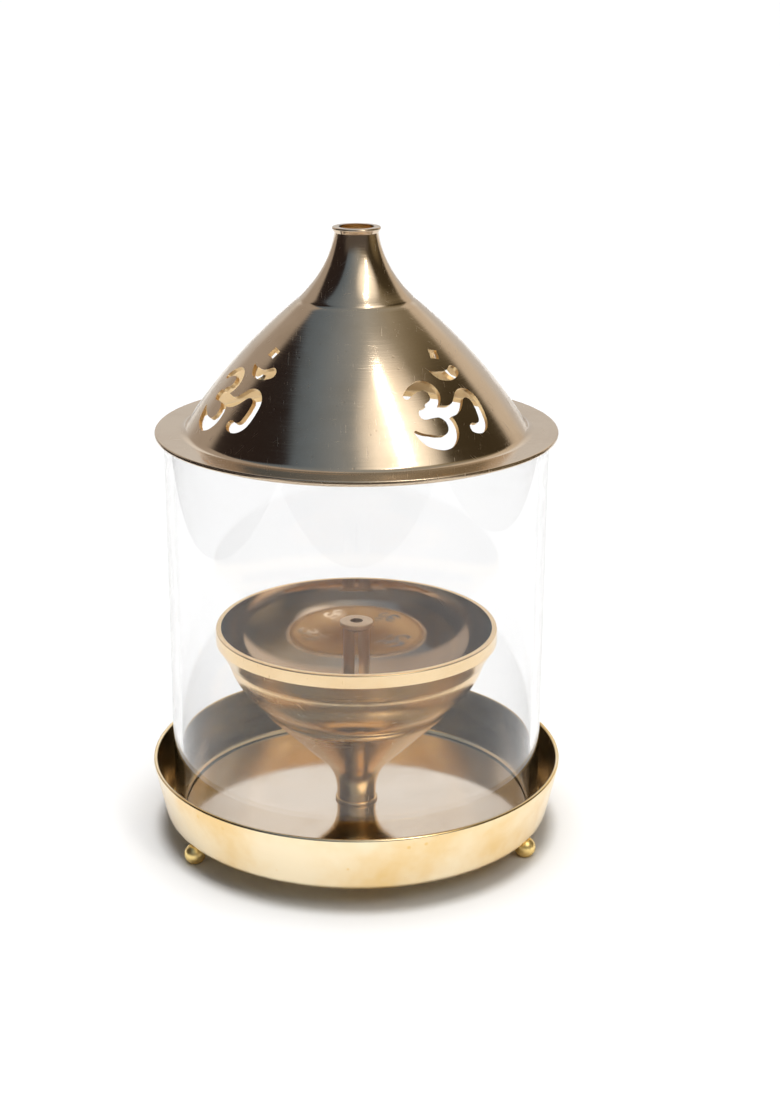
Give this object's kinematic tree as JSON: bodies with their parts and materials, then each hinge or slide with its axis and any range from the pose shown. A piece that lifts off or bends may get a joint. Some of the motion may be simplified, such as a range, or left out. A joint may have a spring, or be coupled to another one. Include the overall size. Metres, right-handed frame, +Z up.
{
  "type": "oil lamp",
  "caption": "Brass oil lamp for a long-burning flame: footed tray, stemmed oil bowl with wick tube, clear glass chimney, and a conical lid with a chimney neck and pierced Om vents.",
  "frame": {"origin": "on the lamp's axis, on the ground under the feet", "axes": "+Z up the axis; the front that the picture shows faces -Y; +X to the viewer's right"},
  "size_m": [0.1222, 0.1222, 0.18],
  "materials": {
    "brass": "polished",
    "pale_brass": "polished",
    "clear_glass": "clear"
  },
  "bodies": {
    "base": {"tray": "brass", "foot_left": "pale_brass", "foot_right": "pale_brass", "foot_rear": "pale_brass", "diya_bowl": "brass", "stem_washer": "pale_brass", "stem_nut": "pale_brass"},
    "wick": {"wick_tube": "pale_brass"},
    "glass": {"glass_chimney": "clear_glass"},
    "lid": {"chimney_lid": "brass"}
  },
  "joints": [
    {"name": "glass_lift", "type": "slide", "parent": "base", "child": "glass", "axis": [0, 0, 1], "range_m": [0, 0.09]},
    {"name": "lid_lift", "type": "slide", "parent": "glass", "child": "lid", "axis": [0, 0, 1], "range_m": [0, 0.06]},
    {"name": "wick_tube_lift", "type": "slide", "parent": "base", "child": "wick", "axis": [0, 0, 1], "range_m": [0, 0.03]}
  ]
}
